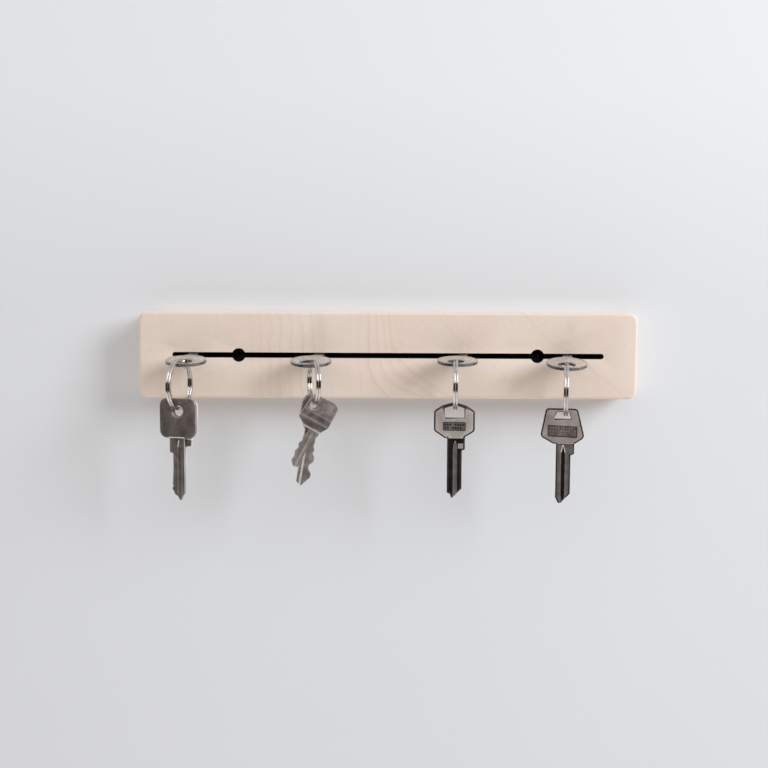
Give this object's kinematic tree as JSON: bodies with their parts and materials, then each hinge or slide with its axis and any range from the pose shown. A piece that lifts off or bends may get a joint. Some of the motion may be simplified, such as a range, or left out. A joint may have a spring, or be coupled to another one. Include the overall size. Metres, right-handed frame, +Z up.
{
  "type": "key organiser",
  "caption": "Wall-mounted wooden key organiser with a long undercut slot; clear round tags slide and turn in it, each carrying a split ring with hanging keys.",
  "frame": {"origin": "centre of the block's back face, on the wall plane", "axes": "+X along the block to the right as seen from the front, +Y into the wall, +Z up"},
  "size_m": [0.2956, 0.0854, 0.1085],
  "materials": {
    "wood": "pale birch, fine sanded, unlacquered",
    "screw_steel": "black phosphated",
    "pin_steel": "turned",
    "clear_acrylic": "clear, polished",
    "ring_chrome": "polished",
    "key_dark_nickel": "dark worn nickel plate",
    "key_brown_nickel": "brownish worn nickel plate",
    "key_bright_nickel": "bright nickel plate",
    "key_warm_nickel": "warm satin nickel plate"
  },
  "bodies": {
    "block": {"wood_block": "wood", "wall_screw_1": "screw_steel", "wall_screw_2": "screw_steel"},
    "pin_1": {"slide_pin_1": "pin_steel"},
    "tag_1": {"tag_1": "clear_acrylic"},
    "ring_1": {"split_ring_1": "ring_chrome"},
    "key_1a": {"key_1a": "key_dark_nickel"},
    "key_1b": {"key_1b": "key_warm_nickel"},
    "pin_2": {"slide_pin_2": "pin_steel"},
    "tag_2": {"tag_2": "clear_acrylic"},
    "ring_2": {"split_ring_2": "ring_chrome"},
    "key_2a": {"key_2a": "key_brown_nickel"},
    "key_2b": {"key_2b": "key_dark_nickel"},
    "pin_3": {"slide_pin_3": "pin_steel"},
    "tag_3": {"tag_3": "clear_acrylic"},
    "ring_3": {"split_ring_3": "ring_chrome"},
    "key_3": {"key_3": "key_bright_nickel"},
    "pin_4": {"slide_pin_4": "pin_steel"},
    "tag_4": {"tag_4": "clear_acrylic"},
    "ring_4": {"split_ring_4": "ring_chrome"},
    "key_4": {"key_4": "key_warm_nickel"}
  },
  "joints": [
    {"name": "tag_1_slide", "type": "slide", "parent": "block", "child": "pin_1", "axis": [1, 0, 0], "range_m": [-0.005, 0.045]},
    {"name": "tag_1_turn", "type": "hinge", "parent": "pin_1", "child": "tag_1", "pos_m": [-0.115, -0.0168, 0.00063], "axis": [0, -0.1564, 0.9877], "range_deg": [-25, 35]},
    {"name": "ring_1_swing", "type": "hinge", "parent": "tag_1", "child": "ring_1", "pos_m": [-0.11894, -0.04777, -0.00428], "axis": [0.9593, -0.2823, 0], "range_deg": [-35, 8]},
    {"name": "key_1a_swing", "type": "hinge", "parent": "ring_1", "child": "key_1a", "pos_m": [-0.11962, -0.05008, -0.02928], "axis": [0.2823, 0.9593, 0], "range_deg": [-35, 35]},
    {"name": "key_1b_swing", "type": "hinge", "parent": "ring_1", "child": "key_1b", "pos_m": [-0.11886, -0.04748, -0.02928], "axis": [0.2823, 0.9593, 0], "range_deg": [-35, 35]},
    {"name": "tag_2_slide", "type": "slide", "parent": "block", "child": "pin_2", "axis": [1, 0, 0], "range_m": [-0.018, 0.034]},
    {"name": "tag_2_turn", "type": "hinge", "parent": "pin_2", "child": "tag_2", "pos_m": [-0.0396, -0.0168, 0.00066], "axis": [0, -0.165, 0.9863], "range_deg": [-16, 44]},
    {"name": "ring_2_swing", "type": "hinge", "parent": "tag_2", "child": "ring_2", "pos_m": [-0.04236, -0.04678, -0.00436], "axis": [0.9598, 0.2807, 0], "range_deg": [-16, 8]},
    {"name": "key_2a_swing", "type": "hinge", "parent": "ring_2", "child": "key_2a", "pos_m": [-0.04199, -0.04807, -0.02586], "axis": [-0.2807, 0.9598, 0], "range_deg": [-60, 15]},
    {"name": "key_2b_swing", "type": "hinge", "parent": "ring_2", "child": "key_2b", "pos_m": [-0.04274, -0.04548, -0.02586], "axis": [-0.2807, 0.9598, 0], "range_deg": [-45, 30]},
    {"name": "tag_3_slide", "type": "slide", "parent": "block", "child": "pin_3", "axis": [1, 0, 0], "range_m": [-0.027, 0.018]},
    {"name": "tag_3_turn", "type": "hinge", "parent": "pin_3", "child": "tag_3", "pos_m": [0.0458, -0.0168, 0.00053], "axis": [0, -0.134, 0.991], "range_deg": [-14, 45]},
    {"name": "ring_3_swing", "type": "hinge", "parent": "tag_3", "child": "ring_3", "pos_m": [0.03854, -0.04728, -0.00359], "axis": [0.9978, -0.0663, 0], "range_deg": [-35, 8]},
    {"name": "key_3_swing", "type": "hinge", "parent": "ring_3", "child": "key_3", "pos_m": [0.03854, -0.04728, -0.02859], "axis": [0.0663, 0.9978, 0], "range_deg": [-35, 35]},
    {"name": "tag_4_slide", "type": "slide", "parent": "block", "child": "pin_4", "axis": [1, 0, 0], "range_m": [-0.017, 0.013]},
    {"name": "tag_4_turn", "type": "hinge", "parent": "pin_4", "child": "tag_4", "pos_m": [0.1071, -0.0168, 0.00082], "axis": [0, -0.2045, 0.9789], "range_deg": [-20, 40]},
    {"name": "ring_4_swing", "type": "hinge", "parent": "tag_4", "child": "ring_4", "pos_m": [0.10166, -0.04734, -0.00556], "axis": [0.9866, -0.1633, 0], "range_deg": [-35, 8]},
    {"name": "key_4_swing", "type": "hinge", "parent": "ring_4", "child": "key_4", "pos_m": [0.10166, -0.04734, -0.03156], "axis": [0.1633, 0.9866, 0], "range_deg": [-35, 35]}
  ]
}
